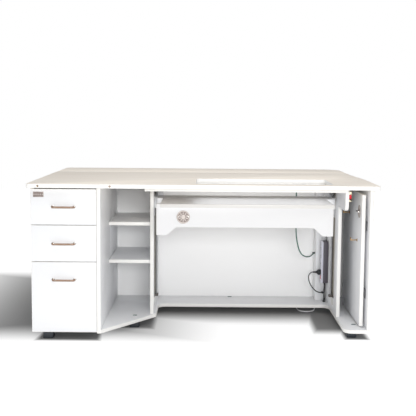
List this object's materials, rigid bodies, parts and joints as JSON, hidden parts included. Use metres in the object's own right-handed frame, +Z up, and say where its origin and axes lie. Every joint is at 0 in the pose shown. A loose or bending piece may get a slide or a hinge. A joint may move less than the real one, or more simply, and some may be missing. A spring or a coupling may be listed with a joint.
{
  "type": "sewing table",
  "caption": "Sewing table with a drawer pedestal, open shelves, a screw-driven machine lift in the kneehole, a pull-out hoop rack and a folding back leaf.",
  "frame": {"origin": "middle of the table's box on the floor, measured without the leads", "axes": "+Z up, +X to the right of a person sitting at the table, front towards -Y"},
  "size_m": [1.718, 1.14, 0.775],
  "materials": {
    "white_board": "white melamine faced board with white edging",
    "top_laminate": "pale laminate with white edging",
    "brass": "plain",
    "black_plastic": "moulded",
    "grey_plastic": "moulded",
    "zinc_steel": "zinc plated",
    "dark_steel": "satin",
    "white_steel": "powder coated",
    "bronze_plate": "satin bronze",
    "handle_metal": "satin bronze nickel",
    "light_plastic": "moulded",
    "cream_plastic": "moulded",
    "red_plastic": "moulded",
    "green_cable": "smooth sheath",
    "black_cable": "smooth sheath",
    "white_cable": "smooth sheath"
  },
  "bodies": {
    "cabinet": {"main_top": "top_laminate", "edge_inserts": "brass", "opening_frame": "white_board", "bottom_board": "white_board", "floor_plugs": "grey_plastic", "feet": "black_plastic", "left_end_panel": "white_board", "pedestal_side_panel": "white_board", "left_divider": "white_board", "right_divider": "white_board", "right_end_panel": "white_board", "back_panel": "white_board", "shelves": "white_board", "shelf_pins": "zinc_steel", "duct_post": "white_board", "guide_rails": "dark_steel", "screw_bearings": "dark_steel", "lift_drives": "white_steel", "power_board_housing": "grey_plastic", "power_board_face": "light_plastic", "lift_switch_body": "cream_plastic", "drawer_runners": "zinc_steel", "rack_runners": "zinc_steel", "leaf_hinges_fixed": "zinc_steel", "leaf_hinge_pins": "zinc_steel", "support_brackets": "zinc_steel", "support_pins": "zinc_steel", "lead_glands": "black_plastic", "control_lead": "green_cable", "appliance_lead": "black_cable", "appliance_plug": "black_plastic", "board_lead": "black_cable", "mains_lead": "white_cable", "mains_coil": "white_cable", "mains_plug": "white_cable"},
    "leaf": {"back_leaf": "top_laminate", "leaf_hinges_moving": "zinc_steel"},
    "support_arm_left": {"support_arm_left": "white_steel"},
    "support_arm_right": {"support_arm_right": "white_steel"},
    "lift": {"lift_platform": "white_board", "apron": "white_board", "medallion": "bronze_plate", "lift_arm_left": "white_steel", "lift_arm_right": "white_steel", "lift_nuts": "brass"},
    "lead_screw_left": {"lead_screw_left": "zinc_steel"},
    "lead_screw_right": {"lead_screw_right": "zinc_steel"},
    "drawer_top": {"drawer_top_front": "white_board", "drawer_top_box": "white_board", "drawer_top_handle": "handle_metal"},
    "drawer_middle": {"drawer_middle_front": "white_board", "drawer_middle_box": "white_board", "drawer_middle_handle": "handle_metal"},
    "drawer_bottom": {"drawer_bottom_front": "white_board", "drawer_bottom_box": "white_board", "drawer_bottom_handle": "handle_metal"},
    "rack": {"rack_panel": "white_board", "rack_fittings": "bronze_plate"},
    "lift_switch": {"lift_switch_rocker": "red_plastic"},
    "power_switch": {"power_board_rocker": "red_plastic"}
  },
  "joints": [
    {"name": "leaf_fold", "type": "hinge", "parent": "cabinet", "child": "leaf", "pos_m": [0, 0.243, 0.752], "axis": [1, 0, 0], "range_deg": [-90, 0]},
    {"name": "support_left_swing", "type": "hinge", "parent": "cabinet", "child": "support_arm_left", "pos_m": [-0.556, 0.231, 0.602], "axis": [1, 0, 0], "range_deg": [-127.9, 0]},
    {"name": "support_right_swing", "type": "hinge", "parent": "cabinet", "child": "support_arm_right", "pos_m": [0.556, 0.231, 0.602], "axis": [1, 0, 0], "range_deg": [-127.9, 0]},
    {"name": "lift_travel", "type": "slide", "parent": "cabinet", "child": "lift", "axis": [0, 0, 1], "range_m": [-0.43, 0.05]},
    {"name": "screw_left_turn", "type": "hinge", "parent": "cabinet", "child": "lead_screw_left", "pos_m": [-0.255, -0.115, 0.43], "axis": [0, 0, 1], "range_deg": [-920, 7760]},
    {"name": "screw_right_turn", "type": "hinge", "parent": "cabinet", "child": "lead_screw_right", "pos_m": [0.701, -0.115, 0.43], "axis": [0, 0, 1], "range_deg": [-920, 7760]},
    {"name": "drawer_top_slide", "type": "slide", "parent": "cabinet", "child": "drawer_top", "axis": [0, -1, 0], "range_m": [0, 0.45]},
    {"name": "drawer_middle_slide", "type": "slide", "parent": "cabinet", "child": "drawer_middle", "axis": [0, -1, 0], "range_m": [0, 0.45]},
    {"name": "drawer_bottom_slide", "type": "slide", "parent": "cabinet", "child": "drawer_bottom", "axis": [0, -1, 0], "range_m": [0, 0.45]},
    {"name": "rack_slide", "type": "slide", "parent": "cabinet", "child": "rack", "axis": [0, -1, 0], "range_m": [0, 0.35]},
    {"name": "lift_switch_rock", "type": "hinge", "parent": "cabinet", "child": "lift_switch", "pos_m": [0.734, -0.438, 0.711], "axis": [1, 0, 0], "range_deg": [-7, 7], "stiffness_Nm_per_rad": 0.4},
    {"name": "power_switch_rock", "type": "hinge", "parent": "cabinet", "child": "power_switch", "pos_m": [0.6745, 0.072, 0.195], "axis": [0, 1, 0], "range_deg": [-7, 7]}
  ],
  "couplings": [
    {"joint": "support_left_swing", "follows": "leaf_fold", "ratio": 1.4153},
    {"joint": "support_right_swing", "follows": "leaf_fold", "ratio": 1.4153},
    {"joint": "screw_left_turn", "follows": "lift_travel", "rad_per_m": -314.16},
    {"joint": "screw_right_turn", "follows": "lift_travel", "rad_per_m": -314.16}
  ]
}
